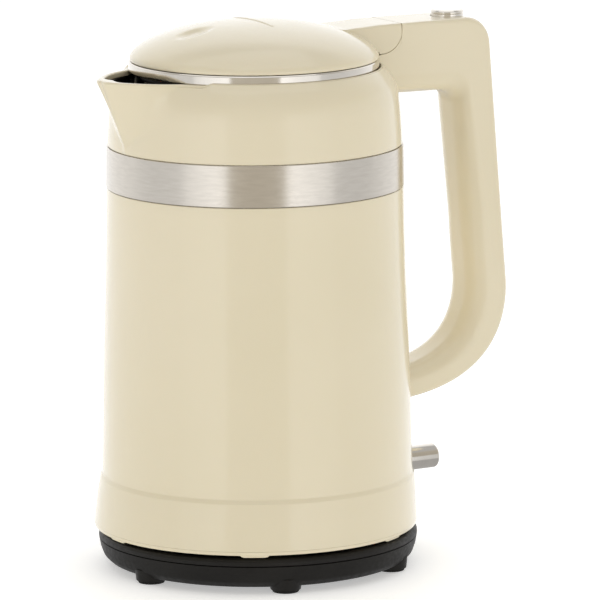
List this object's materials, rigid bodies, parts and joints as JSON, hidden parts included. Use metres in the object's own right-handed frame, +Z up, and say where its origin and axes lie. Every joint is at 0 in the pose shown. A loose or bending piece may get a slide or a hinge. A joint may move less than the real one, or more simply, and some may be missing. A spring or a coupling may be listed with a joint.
{
  "type": "electric kettle",
  "caption": "Tall double-wall electric jug kettle with a hinged dome lid, pointed spout, loop handle, power lever and a round cordless power base.",
  "frame": {"origin": "on the table under the centre of the bounding box, at the feet's underside", "axes": "+Z up, the handle and lever point to +X, the spout points to -X, +Y is across the handle"},
  "size_m": [0.22, 0.158, 0.268],
  "materials": {
    "cream_plastic": "smooth high gloss cream",
    "chrome": "bright polished",
    "brushed_band": "brushed round the axis",
    "stainless": "fine satin",
    "black_plastic": "fine matte grain",
    "grey_plastic": "satin",
    "rubber": "matte",
    "silicone": "satin, translucent white",
    "brass": "bright",
    "aluminium": "cast",
    "spring_steel": "plain"
  },
  "bodies": {
    "power_base": {"base_tray": "black_plastic", "base_cover": "black_plastic", "connector_post": "black_plastic", "contact_pin": "brass", "contact_ring_inner": "brass", "contact_ring_outer": "brass", "terminal_block": "grey_plastic", "cord_gland": "rubber", "base_foot_1": "rubber", "base_foot_2": "rubber", "base_foot_3": "rubber", "base_foot_4": "rubber", "base_foot_5": "rubber", "base_foot_6": "rubber", "base_screw_1": "spring_steel", "base_screw_2": "spring_steel", "base_screw_3": "spring_steel"},
    "coupler": {"cordless_socket": "black_plastic", "socket_contact": "brass"},
    "kettle": {"outer_shell": "cream_plastic", "steel_band": "brushed_band", "foot_ring": "cream_plastic", "bottom_cover": "black_plastic", "bottom_screw_1": "spring_steel", "bottom_screw_2": "spring_steel", "bottom_screw_3": "spring_steel", "inner_vessel": "stainless", "spout_liner": "black_plastic", "mouth_seal": "silicone", "filter_frame": "grey_plastic", "filter_mesh": "stainless", "heater_plate": "aluminium", "heating_element": "spring_steel", "control_unit": "grey_plastic", "steam_tube": "silicone", "steam_disc": "brass", "switch_housing": "black_plastic", "lever_pin": "spring_steel", "handle_shell": "cream_plastic", "handle_back_strip": "cream_plastic", "hinge_bracket": "stainless", "hinge_pin": "spring_steel", "button_spring": "spring_steel"},
    "lid": {"lid_cover": "cream_plastic", "lid_trim_ring": "chrome", "lid_inner_plate": "stainless", "lid_gasket": "silicone", "lid_screw_1": "spring_steel", "lid_screw_2": "spring_steel", "lid_screw_3": "spring_steel"},
    "button": {"release_button": "chrome", "button_stem": "black_plastic"},
    "latch": {"latch_slider": "grey_plastic"},
    "lever": {"power_lever": "chrome", "lever_rocker": "black_plastic"},
    "plunger": {"contact_plunger": "grey_plastic"}
  },
  "joints": [
    {"name": "kettle_lift", "type": "slide", "parent": "power_base", "child": "coupler", "axis": [0, 0, 1], "range_m": [0, 0.06]},
    {"name": "kettle_turn", "type": "hinge", "parent": "coupler", "child": "kettle", "pos_m": [-0.0255, 0, 0.03], "axis": [0, 0, 1], "continuous": true},
    {"name": "lid_hinge", "type": "hinge", "parent": "kettle", "child": "lid", "pos_m": [0.0379, 0, 0.2593], "axis": [0, 1, 0], "range_deg": [0, 75]},
    {"name": "button_press", "type": "slide", "parent": "kettle", "child": "button", "axis": [0, 0, -1], "range_m": [0, 0.0025], "stiffness_N_per_m": 600, "springref_m": -0.002, "deforming": ["button_spring"]},
    {"name": "latch_slide", "type": "slide", "parent": "kettle", "child": "latch", "axis": [1, 0, 0], "range_m": [0, 0.0026]},
    {"name": "lever_press", "type": "hinge", "parent": "kettle", "child": "lever", "pos_m": [0.0395, 0, 0.0425], "axis": [0, 1, 0], "range_deg": [0, 11], "stiffness_Nm_per_rad": 0.03, "springref_deg": -20.05},
    {"name": "plunger_lift", "type": "slide", "parent": "kettle", "child": "plunger", "axis": [0, 0, 1], "range_m": [0, 0.0023]}
  ],
  "couplings": [
    {"joint": "latch_slide", "follows": "button_press", "ratio": 1},
    {"joint": "plunger_lift", "follows": "lever_press", "m_per_rad": 0.0115}
  ]
}
